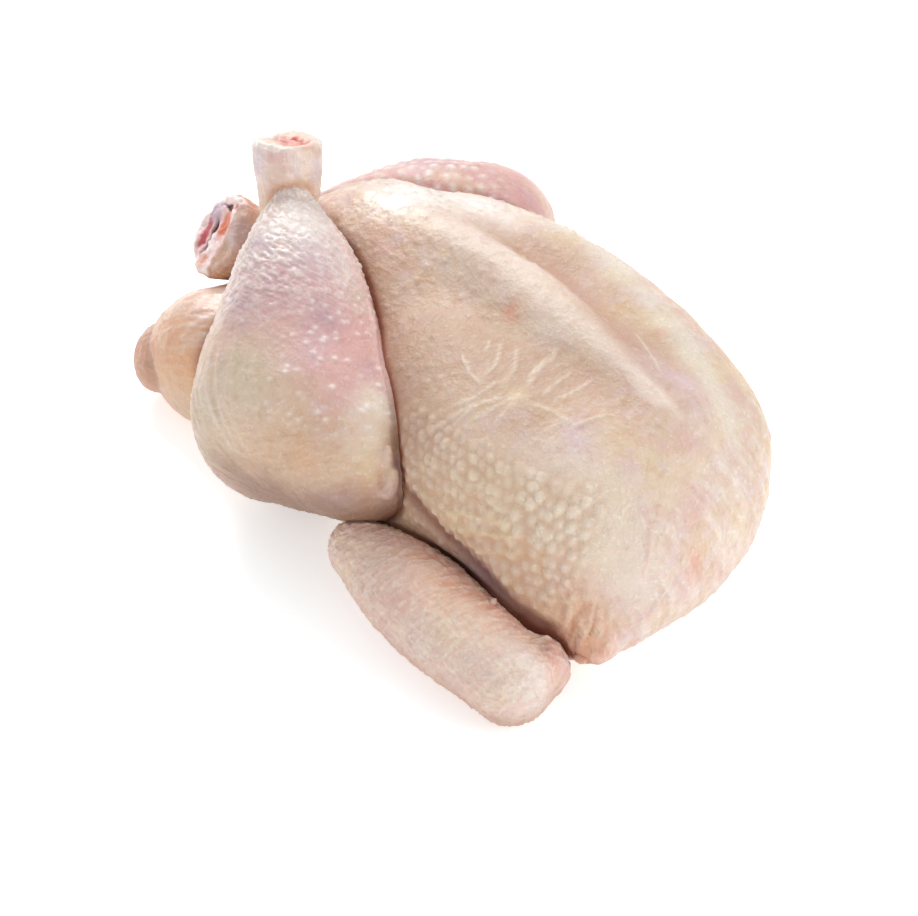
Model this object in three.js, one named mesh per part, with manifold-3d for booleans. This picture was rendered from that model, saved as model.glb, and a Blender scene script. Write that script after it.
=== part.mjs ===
// A dressed whole chicken lying on its back, modelled as one solid.
// Millimetres. +X is the neck end, +Z the breast, and -Y the near side.
// Each lobe of flesh is a smooth distance field. Its skin is a sphere whose points are pushed out along rays
// to where the field is zero, and the skins are joined so that they meet in tight creases.
import * as THREE from "three";
import { mergeVertices } from "three/addons/utils/BufferGeometryUtils.js";
import Module from "manifold-3d";

// ---- Driving dimensions ----------------------------------------------------

// The breast lies turned a little from the line between the legs, in degrees.
const BREAST_YAW = -12;
const FAR_BREAST_YAW = -13;
const BREAST_ROLL = 10;
const RUMP_YAW = 15;
const TAIL_YAW = 30;

// Fleshy lobes of the trunk: centre and radii along its own length, width and height.
const RIB_CAGE = { centre: [10, -6, 44], radii: [92, 58, 44], yaw: BREAST_YAW };
const NEAR_BREAST = { centre: [25, -38, 45], radii: [77, 38, 45], yaw: BREAST_YAW, roll: BREAST_ROLL };
const FAR_BREAST = { centre: [6, 29, 59], radii: [92, 25, 32], yaw: FAR_BREAST_YAW, roll: -BREAST_ROLL };
const CROP = { centre: [66, -22, 41], radii: [40, 48, 42.5], yaw: BREAST_YAW };
const NECK_BASE = { centre: [62.5, -30, 24], radii: [30.5, 41.5, 24], yaw: BREAST_YAW };
const SHOULDER = { centre: [56, -58, 24], radii: [32, 26, 25], yaw: BREAST_YAW };
const BACK = { centre: [-14, -6, 22], radii: [88, 46, 23], yaw: BREAST_YAW };
const BELLY = { centre: [-63, 14, 55], radii: [51.5, 37.5, 34.5], yaw: BREAST_YAW };
const FLANK = { centre: [-22, -48, 20], radii: [44, 22, 20], yaw: BREAST_YAW };
const RUMP = { centre: [-115.5, -24.5, 21], radii: [31, 25.5, 31], yaw: RUMP_YAW };
const VENT = { centre: [-96, 6, 30], radii: [34, 34, 30], yaw: RUMP_YAW };
const TAIL = { centre: [-142, -35, 17], radii: [10, 15, 12.5], yaw: TAIL_YAW };

// The breastbone runs as a low ridge between the breast fillets.
const KEEL = { from: [-74, 24, 76], to: [72, -15, 79], radii: [10, 9, 9, 9], bow: [0, -1, 13] };

// Limbs run from one joint to the next, with radii at even steps along the way.
const NEAR_THIGH = { from: [-90, -33, 34], to: [-28, -57, 46], radii: [26, 41.5, 33, 28] };
const NEAR_DRUMSTICK = { from: [-60, -52.5, 54], to: [-94, -7, 97.5], radii: [33, 29, 25.5, 19.5, 8] };
const FAR_THIGH = { centre: [-72, 46, 34], radii: [44, 34, 33] };
const FAR_DRUMSTICK = { from: [-53, 61, 52], to: [-122, 2.5, 53.5], radii: [29, 31.5, 27, 19, 12.5] };
const NEAR_FOREARM = { from: [-14.5, -80, 20.5], to: [62, -100.5, 16.5], radii: [12, 17.5, 18, 15.5] };
const NEAR_ELBOW = { centre: [67, -88.5, 15], radii: [10, 10, 12.5] };
const NEAR_UPPER_ARM = { from: [-2, -66, 10], to: [46, -76, 10], radii: [10, 11, 12, 12] };
const FAR_FOREARM = { from: [-16, 62, 17], to: [46, 46, 17], radii: [14, 16, 17, 15] };
const FAR_UPPER_ARM = { from: [-12, 50, 12], to: [46, 40, 12], radii: [12, 13, 14, 14] };

// The bare hocks where the feet were cut off: a waist in the leg's skin, a knuckle, and a flat cut with the bone
// in it. A hock is wider by its spread along the broad direction.
const NEAR_HOCK = { waist: [-98.5, -3, 93], cut: [-104, 5.5, 114], girth: 12.5, broad: [1, 0, 0], spread: 1 };
const FAR_HOCK = { waist: [-126, 5, 53], cut: [-132.5, -4.5, 63], girth: 14, broad: [0.26, 0.8, 0.55], spread: 1.2 };

// The outline of a hock, as shares of its girth and of its length from the waist to the cut. Its shank runs on
// below the waist into the leg, and rounds off there.
const WAIST_SHARE = 0.84;
const KNUCKLE = { girthShare: 0.96, lengthShare: 0.35 };
const RIM = { girthShare: 1, lengthShare: 0.7 };
const SHANK = 14;
const SHANK_END = { girthShare: 0.7, rounding: 4 };
const CUT_ROUNDING = 1.8;
const CUT_DISH = 1;
const BONE_RADIUS = 6.5;
const BONE_RISE = 1.4;
const HOCK_SIDES = 20;
const OUTLINE_STEPS = 6;

// How far flesh flows together where two lobes share one skin.
const FILLET_BLEND = 22;
const TRUNK_BLEND = 16;
const LOOSE_BLEND = 12;
const KNEE_BLEND = 24;
const FAR_KNEE_BLEND = 14;

// Rows of triangles along each edge of the twenty-sided start of a skin.
const TRUNK_ROWS = 15;
const LEG_ROWS = 10;
const RUMP_ROWS = 7;
const ARM_ROWS = 7;
const SMALL_ROWS = 4;

// Where the rays of the folded legs start: inside each knee, in sight of all of its leg.
const NEAR_KNEE = [-62, -48, 48];
const FAR_KNEE = [-74, 44, 44];
const RUMP_MIDDLE = [-106, -10, 25];

// How much denser the rays lie towards the ends of a long shape than about its middle.
const TRUNK_STRETCH = 1.5;
const LEG_STRETCH = 1.7;

// The search along a ray: shortest step in mm, share of the field taken, and halvings at the end.
const MIN_STEP = 0.4;
const STEP_SHARE = 0.7;
const HALVINGS = 22;

// A block below the floor that cuts the resting spots flat.
const FLOOR_BLOCK = { length: 600, width: 600, height: 100 };

const SKIN_COLOUR = 0xd9b79c;
const SKIN_ROUGHNESS = 0.45;

// ---- Distance fields -------------------------------------------------------

const vector = (xyz) => new THREE.Vector3(...xyz);
const towards = (from, to) => vector(to).sub(vector(from)).normalize();

// Nearly the distance from a point to an ellipsoid about the origin.
function quadricDistance(point, radii) {
  const once = point.clone().divide(radii);
  const steepness = once.clone().divide(radii).length();
  const reach = once.length();
  const scale = steepness > 0 ? reach / steepness : Math.min(...radii);
  return (reach - 1) * scale;
}

// An egg-shaped lobe, turned about the vertical and rolled about its own length.
function lobe({ centre, radii, yaw = 0, roll = 0 }) {
  const middle = vector(centre);
  const size = vector(radii);
  const turn = new THREE.Euler(THREE.MathUtils.degToRad(roll), 0, THREE.MathUtils.degToRad(yaw), "ZYX");
  const back = new THREE.Quaternion().setFromEuler(turn).invert();
  return (point) => quadricDistance(point.clone().sub(middle).applyQuaternion(back), size);
}

// A smooth curve through radii at even steps, read at t from 0 to 1.
function radiusAlong(radii, t) {
  const last = radii.length - 1;
  const place = THREE.MathUtils.clamp(t, 0, 1) * last;
  const step = Math.min(Math.floor(place), last - 1);
  const f = place - step;
  const before = step > 0 ? radii[step - 1] : 2 * radii[0] - radii[1];
  const after = step + 2 <= last ? radii[step + 2] : 2 * radii[last] - radii[last - 1];
  const [start, end] = [radii[step], radii[step + 1]];
  const bend = 3 * (start - end) + after - before;
  const lean = 2 * before - 5 * start + 4 * end - after;
  return start + 0.5 * f * (end - before + f * (lean + f * bend));
}

// A fleshy limb between two joints. A bow lifts its middle, and a cap under 1 flattens its ends.
function limb({ from, to, radii, bow = [0, 0, 0], cap = 1 }) {
  const start = vector(from);
  const axis = vector(to).sub(start);
  const length = axis.length();
  axis.normalize();
  const lift = vector(bow);
  return (point) => {
    const offset = point.clone().sub(start);
    const share = THREE.MathUtils.clamp(offset.dot(axis) / length, 0, 1);
    offset.addScaledVector(lift, -4 * share * (1 - share));
    const along = offset.dot(axis);
    const t = THREE.MathUtils.clamp(along / length, 0, 1);
    const radius = radiusAlong(radii, t);
    const across = offset.addScaledVector(axis, -along).length();
    const beyondEnds = along - t * length;
    return quadricDistance(new THREE.Vector3(across, 0, beyondEnds), new THREE.Vector3(radius, radius, radius * cap));
  };
}

// Two fields under one smooth skin, flowing together over the width given.
function blend(width, one, other) {
  return (point) => {
    const a = one(point);
    const b = other(point);
    const h = THREE.MathUtils.clamp(0.5 + (0.5 * (b - a)) / width, 0, 1);
    return b + (a - b) * h - width * h * (1 - h);
  };
}

// ---- Flesh -----------------------------------------------------------------

function trunk() {
  const fillets = blend(FILLET_BLEND, lobe(NEAR_BREAST), lobe(FAR_BREAST));
  const ribbed = blend(TRUNK_BLEND, fillets, lobe(RIB_CAGE));
  const keeled = blend(TRUNK_BLEND, ribbed, limb(KEEL));
  const fronted = blend(TRUNK_BLEND, keeled, lobe(CROP));
  const necked = blend(LOOSE_BLEND, fronted, lobe(NECK_BASE));
  const shouldered = blend(LOOSE_BLEND, necked, lobe(SHOULDER));
  const bellied = blend(TRUNK_BLEND, shouldered, lobe(BELLY));
  const flanked = blend(LOOSE_BLEND, bellied, lobe(FLANK));
  return blend(LOOSE_BLEND, flanked, lobe(BACK));
}

const nearLeg = () => blend(KNEE_BLEND, limb(NEAR_THIGH), limb(NEAR_DRUMSTICK));
const farLeg = () => blend(FAR_KNEE_BLEND, lobe(FAR_THIGH), limb(FAR_DRUMSTICK));
const rump = () => blend(LOOSE_BLEND, lobe(RUMP), lobe(VENT));

// ---- Skins -----------------------------------------------------------------

// A geometry with each corner kept once, so that its triangles share their corners.
function positionsOnly(geometry) {
  geometry.deleteAttribute("normal");
  geometry.deleteAttribute("uv");
  return mergeVertices(geometry);
}

// How far out from the start, along a direction, the field turns positive.
function reachAlong(field, start, direction) {
  const at = (distance) => field(start.clone().addScaledVector(direction, distance));
  let inside = 0;
  let outside = 0;
  for (let value = at(0); value < 0; value = at(outside)) {
    inside = outside;
    outside += Math.max(-value * STEP_SHARE, MIN_STEP);
  }
  for (let i = 0; i < HALVINGS; i += 1) {
    const middle = (inside + outside) / 2;
    if (at(middle) < 0) inside = middle;
    else outside = middle;
  }
  return inside;
}

const LENGTHWISE = new THREE.Vector3(1, 0, 0);

// The skin of a field seen from a start inside it. Its points are spread as on a ball stretched along an axis.
function skin(field, from, rows, axis = LENGTHWISE, stretch = 1) {
  const start = vector(from);
  const surface = positionsOnly(new THREE.IcosahedronGeometry(1, rows - 1));
  const points = surface.getAttribute("position");
  const direction = new THREE.Vector3();
  for (let i = 0; i < points.count; i += 1) {
    direction.fromBufferAttribute(points, i);
    direction.addScaledVector(axis, (stretch - 1) * direction.dot(axis)).normalize();
    const point = start.clone().addScaledVector(direction, reachAlong(field, start, direction));
    points.setXYZ(i, point.x, point.y, point.z);
  }
  return surface;
}

// The skin of one straight limb, with its points spread along its length.
function limbSkin(shape, rows) {
  const from = vector(shape.from);
  const axis = vector(shape.to).sub(from);
  const middle = from.clone().addScaledVector(axis, 0.5);
  const stretch = 1 + axis.length() / (2 * Math.max(...shape.radii));
  return skin(limb(shape), middle.toArray(), rows, axis.normalize(), stretch);
}

// A hock turned about its own length, from the end of its shank inside the leg out to the cut.
function hock({ waist, cut, girth, broad, spread }) {
  const axis = vector(cut).sub(vector(waist));
  const length = axis.length();
  const narrow = girth * WAIST_SHARE;
  const outline = new THREE.SplineCurve([
    new THREE.Vector2(narrow, 0),
    new THREE.Vector2(girth * KNUCKLE.girthShare, length * KNUCKLE.lengthShare),
    new THREE.Vector2(girth * RIM.girthShare, length * RIM.lengthShare),
    new THREE.Vector2(girth - CUT_ROUNDING / 3, length - CUT_ROUNDING),
  ]).getPoints(OUTLINE_STEPS);
  const profile = [
    new THREE.Vector2(0, -SHANK - SHANK_END.rounding),
    new THREE.Vector2(narrow * SHANK_END.girthShare, -SHANK),
    new THREE.Vector2(narrow, SHANK_END.rounding - SHANK),
    ...outline,
    new THREE.Vector2(girth - CUT_ROUNDING, length),
    new THREE.Vector2(BONE_RADIUS, length - CUT_DISH),
    new THREE.Vector2(BONE_RADIUS - CUT_DISH, length - CUT_DISH + BONE_RISE),
    new THREE.Vector2(0, length - CUT_DISH + BONE_RISE),
  ];
  axis.normalize();
  const across = vector(broad).addScaledVector(axis, -vector(broad).dot(axis)).normalize();
  const frame = new THREE.Matrix4().makeBasis(across, axis, new THREE.Vector3().crossVectors(across, axis));
  frame.scale(new THREE.Vector3(spread, 1, 1)).setPosition(...waist);
  return positionsOnly(new THREE.LatheGeometry(profile, HOCK_SIDES)).applyMatrix4(frame);
}

// ---- Joining ---------------------------------------------------------------

const wasm = await Module();
wasm.setup();

// A solid from a closed geometry, without the empty triangles at the poles of a turned shape.
function solid(geometry) {
  const corners = [];
  for (let i = 0; i < geometry.index.count; i += 3) {
    const [a, b, c] = [0, 1, 2].map((k) => geometry.index.getX(i + k));
    if (a !== b && b !== c && c !== a) corners.push(a, b, c);
  }
  return new wasm.Manifold(
    new wasm.Mesh({
      numProp: 3,
      vertProperties: new Float32Array(geometry.getAttribute("position").array),
      triVerts: new Uint32Array(corners),
    }),
  );
}

function floorBlock() {
  const { length, width, height } = FLOOR_BLOCK;
  return positionsOnly(new THREE.BoxGeometry(length, width, height)).translate(0, 0, -height / 2);
}

function wholeBird() {
  const skins = [
    skin(trunk(), RIB_CAGE.centre, TRUNK_ROWS, LENGTHWISE, TRUNK_STRETCH),
    skin(nearLeg(), NEAR_KNEE, LEG_ROWS, towards(NEAR_KNEE, NEAR_HOCK.cut), LEG_STRETCH),
    skin(farLeg(), FAR_KNEE, LEG_ROWS, towards(FAR_KNEE, FAR_HOCK.cut), LEG_STRETCH),
    skin(rump(), RUMP_MIDDLE, RUMP_ROWS),
    skin(lobe(TAIL), TAIL.centre, SMALL_ROWS),
    skin(lobe(NEAR_ELBOW), NEAR_ELBOW.centre, SMALL_ROWS),
    limbSkin(NEAR_FOREARM, ARM_ROWS),
    limbSkin(FAR_FOREARM, ARM_ROWS),
    limbSkin(NEAR_UPPER_ARM, SMALL_ROWS),
    limbSkin(FAR_UPPER_ARM, SMALL_ROWS),
    hock(NEAR_HOCK),
    hock(FAR_HOCK),
  ];
  const joined = skins.map(solid).reduce((all, next) => all.add(next));
  return joined.subtract(solid(floorBlock()));
}

// The origin is the middle of the floor area that the bird covers.
function centred(body) {
  const { vertProperties, triVerts } = body.getMesh();
  const geometry = new THREE.BufferGeometry();
  geometry.setAttribute("position", new THREE.BufferAttribute(vertProperties, 3));
  geometry.setIndex(new THREE.BufferAttribute(triVerts, 1));
  geometry.computeBoundingBox();
  const middle = geometry.boundingBox.getCenter(new THREE.Vector3());
  geometry.translate(-middle.x, -middle.y, 0);
  return geometry;
}

const chicken = new THREE.Mesh(
  centred(wholeBird()),
  new THREE.MeshStandardMaterial({ color: SKIN_COLOUR, roughness: SKIN_ROUGHNESS, metalness: 0 }),
);
chicken.name = "chicken";

const bird = new THREE.Group();
bird.add(chicken);

export default bird;
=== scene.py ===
"""The looks of a dressed whole raw chicken that lies on its back.

Flesh is described by smooth distance fields in millimetres, with +X the neck end, +Z the breast
and -Y the near side. Each fleshy part becomes a fine skin of its own, on which follicles, wrinkles
and folds are raised as real relief. The same measures of place give the colours, which one skin
material reads.
"""
import math

import bpy
import numpy as np
from mathutils import Matrix, Vector


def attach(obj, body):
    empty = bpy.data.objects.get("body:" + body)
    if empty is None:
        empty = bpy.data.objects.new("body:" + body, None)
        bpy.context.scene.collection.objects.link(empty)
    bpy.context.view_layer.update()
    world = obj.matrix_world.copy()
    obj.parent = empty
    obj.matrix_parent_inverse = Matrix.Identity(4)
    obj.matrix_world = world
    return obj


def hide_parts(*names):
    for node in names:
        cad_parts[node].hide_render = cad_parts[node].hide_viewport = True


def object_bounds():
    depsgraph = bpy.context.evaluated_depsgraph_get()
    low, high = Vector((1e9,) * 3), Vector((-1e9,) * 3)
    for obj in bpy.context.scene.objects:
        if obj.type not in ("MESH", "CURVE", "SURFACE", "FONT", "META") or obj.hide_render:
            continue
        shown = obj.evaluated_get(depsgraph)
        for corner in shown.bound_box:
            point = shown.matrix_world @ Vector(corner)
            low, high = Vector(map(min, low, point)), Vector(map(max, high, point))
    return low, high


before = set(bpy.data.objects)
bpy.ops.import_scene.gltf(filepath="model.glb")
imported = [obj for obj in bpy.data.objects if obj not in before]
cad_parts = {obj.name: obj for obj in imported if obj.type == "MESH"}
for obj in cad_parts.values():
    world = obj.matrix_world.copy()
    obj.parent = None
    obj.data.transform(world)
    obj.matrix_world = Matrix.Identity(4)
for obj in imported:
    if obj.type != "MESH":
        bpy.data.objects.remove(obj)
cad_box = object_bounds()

MM = 0.001
SEED = 11

# ---- Sizes of the bird, in millimetres and degrees ----

BREAST_YAW = -12
FAR_BREAST_YAW = -13
BREAST_ROLL = 10
RUMP_YAW = 15
TAIL_YAW = 30

RIB_CAGE = dict(centre=(10, -6, 44), radii=(92, 58, 44), yaw=BREAST_YAW)
NEAR_BREAST = dict(centre=(25, -38, 45), radii=(77, 38, 45), yaw=BREAST_YAW, roll=BREAST_ROLL)
FAR_BREAST = dict(centre=(6, 29, 59), radii=(92, 25, 32), yaw=FAR_BREAST_YAW, roll=-BREAST_ROLL)
CROP = dict(centre=(66, -22, 41), radii=(40, 48, 42.5), yaw=BREAST_YAW)
NECK_BASE = dict(centre=(62.5, -30, 24), radii=(30.5, 41.5, 24), yaw=BREAST_YAW)
SHOULDER = dict(centre=(56, -58, 24), radii=(32, 26, 25), yaw=BREAST_YAW)
BACK = dict(centre=(-14, -6, 22), radii=(88, 46, 23), yaw=BREAST_YAW)
BELLY = dict(centre=(-63, 14, 55), radii=(51.5, 37.5, 34.5), yaw=BREAST_YAW)
FLANK = dict(centre=(-22, -48, 20), radii=(44, 22, 20), yaw=BREAST_YAW)
RUMP = dict(centre=(-115.5, -24.5, 21), radii=(31, 25.5, 31), yaw=RUMP_YAW)
VENT = dict(centre=(-96, 6, 30), radii=(34, 34, 30), yaw=RUMP_YAW)
TAIL = dict(centre=(-142, -35, 17), radii=(10, 15, 12.5), yaw=TAIL_YAW)
KEEL = dict(start=(-74, 24, 76), end=(72, -15, 79), radii=(10, 9, 9, 9), bow=(0, -1, 13))

SHOULDER_FOLD = dict(centre=(77, -75, 21), radii=(10, 7, 7))
KNEE_FOLD = (
    dict(centre=(-9, -69.5, 60), radii=(1.8, 2.2, 7)),
    dict(centre=(-5.8, -72, 54.6), radii=(2.6, 2.8, 5)),
    dict(centre=(-6.6, -74.8, 50), radii=(3, 2.8, 3.2)),
)

NEAR_THIGH = dict(start=(-90, -33, 34), end=(-28, -57, 46), radii=(26, 41.5, 33, 28))
NEAR_DRUMSTICK = dict(start=(-60, -52.5, 54), end=(-94, -7, 97.5), radii=(33, 29, 25.5, 19.5, 8))
FAR_THIGH = dict(centre=(-72, 46, 34), radii=(44, 34, 33))
FAR_DRUMSTICK = dict(start=(-53, 61, 52), end=(-122, 2.5, 53.5), radii=(29, 31.5, 27, 19, 12.5))
NEAR_FOREARM = dict(start=(-14.5, -80, 20.5), end=(62, -100.5, 16.5), radii=(12, 17.5, 18, 15.5))
NEAR_ELBOW = dict(centre=(67, -88.5, 15), radii=(10, 10, 12.5))
NEAR_UPPER_ARM = dict(start=(-2, -66, 10), end=(46, -76, 10), radii=(10, 11, 12, 12))
FAR_FOREARM = dict(start=(-16, 62, 17), end=(46, 46, 17), radii=(14, 16, 17, 15))
FAR_UPPER_ARM = dict(start=(-12, 50, 12), end=(46, 40, 12), radii=(12, 13, 14, 14))
NEAR_HOCK = dict(waist=(-98.5, -3, 93), cut=(-104, 5.5, 114), girth=12.5, broad=(1, 0, 0), spread=1)
FAR_HOCK = dict(
    waist=(-126, 5, 53), cut=(-132.5, -4.5, 63), girth=14, broad=(0.26, 0.8, 0.55), spread=1.2,
)

SHANK = 14  # how far a hock runs on below its waist, into the leg
HOCK_SHARES = (0.8, 0.84, 0.97, 1, 1)  # its radii along it, as shares of its girth
CUT_EDGE = 3  # how softly its side turns into its cut face

# How wide the flesh flows together where two lobes or limbs meet.
FILLET_BLEND = 22
TRUNK_BLEND = 16
LOOSE_BLEND = 12
KNEE_BLEND = 24
FAR_KNEE_BLEND = 14
ARM_BLEND = 4
NUB_BLEND = 2
FOLD_BLEND = 6
FLECK_BLEND = 3.5

# ---- Distance fields ----

TINY = 1e-6  # keeps a division away from zero


def unit(v):
    return v / np.linalg.norm(v)


def turned(yaw=0, roll=0):
    """The columns are a lobe's own axes, after a roll about its length and a turn about the vertical."""
    turn = Matrix.Rotation(math.radians(yaw), 3, "Z")
    return np.array(turn @ Matrix.Rotation(math.radians(roll), 3, "X"))


def shell(q, radii):
    """Nearly the distance to an ellipsoid about the origin."""
    reach = np.sqrt(((q / radii) ** 2).sum(1))
    steepness = np.sqrt(((q / radii**2) ** 2).sum(1))
    return (reach - 1) * reach / np.maximum(steepness, TINY)


def lobe(p, centre, radii, yaw=0, roll=0):
    """An egg-shaped lobe of flesh."""
    return shell((p - centre) @ turned(yaw, roll), np.array(radii, float))


def radius_along(t, radii):
    """A Catmull-Rom curve through radii at even steps, read at t from 0 to 1."""
    r = np.asarray(radii, float)
    last = len(r) - 1
    place = np.clip(t, 0, 1) * last
    step = np.minimum(place.astype(int), last - 1)
    f = place - step
    run = np.r_[2 * r[0] - r[1], r, 2 * r[-1] - r[-2]]
    before, here, there, after = run[step], run[step + 1], run[step + 2], run[step + 3]
    bend = 3 * (here - there) + after - before
    lean = 2 * before - 5 * here + 4 * there - after
    return here + 0.5 * f * (there - before + f * (lean + f * bend))


def limb(p, start, end, radii, bow=(0, 0, 0)):
    """A fleshy limb between two joints. A bow lifts its middle."""
    axis = unit(np.subtract(end, start))
    length = np.linalg.norm(np.subtract(end, start))
    q = p - start
    share = np.clip(q @ axis / length, 0, 1)
    q = q - np.outer(4 * share * (1 - share), bow)
    along = q @ axis
    t = np.clip(along / length, 0, 1)
    across = np.linalg.norm(q - np.outer(along, axis), axis=1)
    return shell(np.stack([across, along - t * length], 1), radius_along(t, radii)[:, None])


def join(one, other, width):
    """Two fields under one smooth skin, flowing together over the width given."""
    h = np.clip(0.5 + 0.5 * (other - one) / width, 0, 1)
    return other + (one - other) * h - width * h * (1 - h)


def trunk(p):
    d = join(lobe(p, **NEAR_BREAST), lobe(p, **FAR_BREAST), FILLET_BLEND)
    d = join(d, lobe(p, **RIB_CAGE), TRUNK_BLEND)
    d = join(d, limb(p, **KEEL), TRUNK_BLEND)
    d = join(d, lobe(p, **CROP), TRUNK_BLEND)
    d = join(d, lobe(p, **NECK_BASE), LOOSE_BLEND)
    d = join(d, lobe(p, **SHOULDER), LOOSE_BLEND)
    d = join(d, lobe(p, **BELLY), TRUNK_BLEND)
    d = join(d, lobe(p, **FLANK), LOOSE_BLEND)
    return join(d, lobe(p, **BACK), LOOSE_BLEND)


def breast(p):
    """The trunk with the fold of loose skin that ends at the shoulder."""
    return join(trunk(p), lobe(p, **SHOULDER_FOLD), FOLD_BLEND)


def rump(p):
    return join(join(lobe(p, **RUMP), lobe(p, **VENT), LOOSE_BLEND), lobe(p, **TAIL), ARM_BLEND)


def near_leg(p):
    return join(limb(p, **NEAR_THIGH), limb(p, **NEAR_DRUMSTICK), KNEE_BLEND)


def leg(p):
    """The near leg with the fold of skin that hangs at its knee."""
    d = near_leg(p)
    for size in KNEE_FOLD:
        d = join(d, lobe(p, **size), NUB_BLEND)
    return d


def far_leg(p):
    return join(lobe(p, **FAR_THIGH), limb(p, **FAR_DRUMSTICK), FAR_KNEE_BLEND)


def near_wing(p):
    return join(limb(p, **NEAR_FOREARM), lobe(p, **NEAR_ELBOW), ARM_BLEND)


def near_arm(p):
    return limb(p, **NEAR_UPPER_ARM)


def far_wing(p):
    return join(limb(p, **FAR_FOREARM), limb(p, **FAR_UPPER_ARM), ARM_BLEND)


def cut_axes(waist, cut, broad):
    """A knuckle's own directions: along it towards the cut, and over the cut face the broad way."""
    axis = unit(np.subtract(cut, waist))
    return axis, unit(np.subtract(broad, np.dot(broad, axis) * axis))


def hock(p, waist, cut, girth, broad, spread):
    """A bare knuckle, round at its waist, flat where the foot was cut off, and spread the broad way."""
    axis, across = cut_axes(waist, cut, broad)
    p = p - np.outer((p - cut) @ across * (1 - 1 / spread), across)
    radii = [share * girth for share in HOCK_SHARES]
    d = limb(p, waist - axis * SHANK, cut + axis * girth, radii)
    return -join(-d, -(p - cut) @ axis, CUT_EDGE)


# ---- Skins as meshes ----

BLOCK = 4  # cells along each side of the blocks that are searched for the surface
BAND = 1.9  # how far from a block's middle the field may say the surface is, in half diagonals
SLOPE_STEP = 0.35
SETTLINGS = 2  # how often the points are moved onto the surface
FLATTEST = 0.05  # the least squared slope that is believed there


def sample(field, low, high, cell):
    """The field on a grid of points, worked out in full only in the blocks near its surface."""
    blocks = np.ceil((high - low) / (cell * BLOCK)).astype(int)
    corners = np.indices(blocks).reshape(3, -1).T
    middles = low + (corners * BLOCK + (BLOCK - 1) / 2) * cell
    rough = field(middles)
    near = np.abs(rough) < BAND * cell * BLOCK * math.sqrt(3) / 2
    grid = np.repeat(rough[:, None], BLOCK**3, axis=1)
    steps = np.indices([BLOCK] * 3).reshape(3, -1).T
    points = (corners[near][:, None] * BLOCK + steps) * cell + low
    grid[near] = field(points.reshape(-1, 3)).reshape(-1, BLOCK**3)
    grid = grid.reshape(*blocks, BLOCK, BLOCK, BLOCK)
    return grid.transpose(0, 3, 1, 4, 2, 5).reshape(*(blocks * BLOCK))


def net(values, low, cell):
    """The points and four-sided faces of a grid's zero surface, one point in each cell it crosses."""
    stride = np.array([values.shape[1] * values.shape[2], values.shape[2], 1])
    step = np.eye(3, dtype=int)
    cells, places, faces = [], [], []
    for axis in range(3):
        one, two = step[(axis + 1) % 3], step[(axis + 2) % 3]
        crossed = np.argwhere(np.diff(values < 0, axis=axis))
        crossed = crossed[(crossed @ one > 0) & (crossed @ two > 0)]
        first = values[tuple(crossed.T)]
        second = values[tuple((crossed + step[axis]).T)]
        place = crossed + np.outer(first / (first - second), step[axis])
        ring = [(crossed - back) @ stride for back in (0 * one, one, one + two, two)]
        face = np.stack(ring, 1)
        face[first > 0] = face[first > 0][:, ::-1]
        faces.append(face)
        cells.extend(ring)
        places.extend([place] * len(ring))
    used, index = np.unique(np.concatenate(cells), return_inverse=True)
    places = np.concatenate(places)
    count = np.bincount(index)
    points = np.stack([np.bincount(index, places[:, k]) / count for k in range(3)], 1)
    faces = np.searchsorted(used, np.concatenate(faces))
    return points * cell + low, faces


def slope(field, p):
    """The field's gradient."""
    shifts = SLOPE_STEP * np.eye(3)
    return np.stack([(field(p + s) - field(p - s)) / (2 * SLOPE_STEP) for s in shifts], 1)


def skin_of(field, low, high, cell):
    """The points, outward directions and faces of a field's surface."""
    low, high = np.array(low, float), np.array(high, float)
    points, faces = net(sample(field, low, high, cell), low, cell)
    for _ in range(SETTLINGS):
        g = slope(field, points)
        points -= g * (field(points) / np.maximum((g**2).sum(1), FLATTEST))[:, None]
    g = slope(field, points)
    return points, g / np.linalg.norm(g, axis=1, keepdims=True), faces


# ---- Patterns ----

TABLE = 64  # values along each side of the noise's table
NOISE_START = 100  # keeps places in the noise above zero
NOISE_STEP = 7.3  # how far apart in the noise two neighbouring shifts lie
FINER = 2.1  # how much finer the noise on a cloud is than the cloud
CLOUD_SHARE, FINE_SHARE = 0.6, 0.4
RIDGE_SHARPNESS = 6
PATCH_FALL = 1.5
FAR = 1e9
draw = np.random.default_rng(SEED)
LATTICE = draw.uniform(-1, 1, (TABLE, TABLE, TABLE))


def noise(p, scale, shift=0):
    """Smooth noise from -1 to 1, with features about as large as the scale, which may differ by axis.

    Each shift gives other noise.
    """
    q = p / np.asarray(scale, float) + NOISE_STEP * shift + NOISE_START
    cell = np.floor(q).astype(int)
    f = q - cell
    f = f * f * (3 - 2 * f)
    total = 0
    for corner in np.ndindex(2, 2, 2):
        x, y, z = ((cell + corner) % TABLE).T
        share_x, share_y, share_z = np.where(corner, f, 1 - f).T
        total = total + LATTICE[x, y, z] * share_x * share_y * share_z
    return total


def cloudy(p, scale, shift=0):
    """Noise with finer noise on it."""
    fine = noise(p, np.asarray(scale, float) / FINER, shift + 1)
    return CLOUD_SHARE * noise(p, scale, shift) + FINE_SHARE * fine


def ridges(p, scale, shift):
    """Thin raised lines where smooth noise crosses zero, from 0 to 1."""
    return (1 - np.abs(cloudy(p, scale, shift))) ** RIDGE_SHARPNESS


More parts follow.
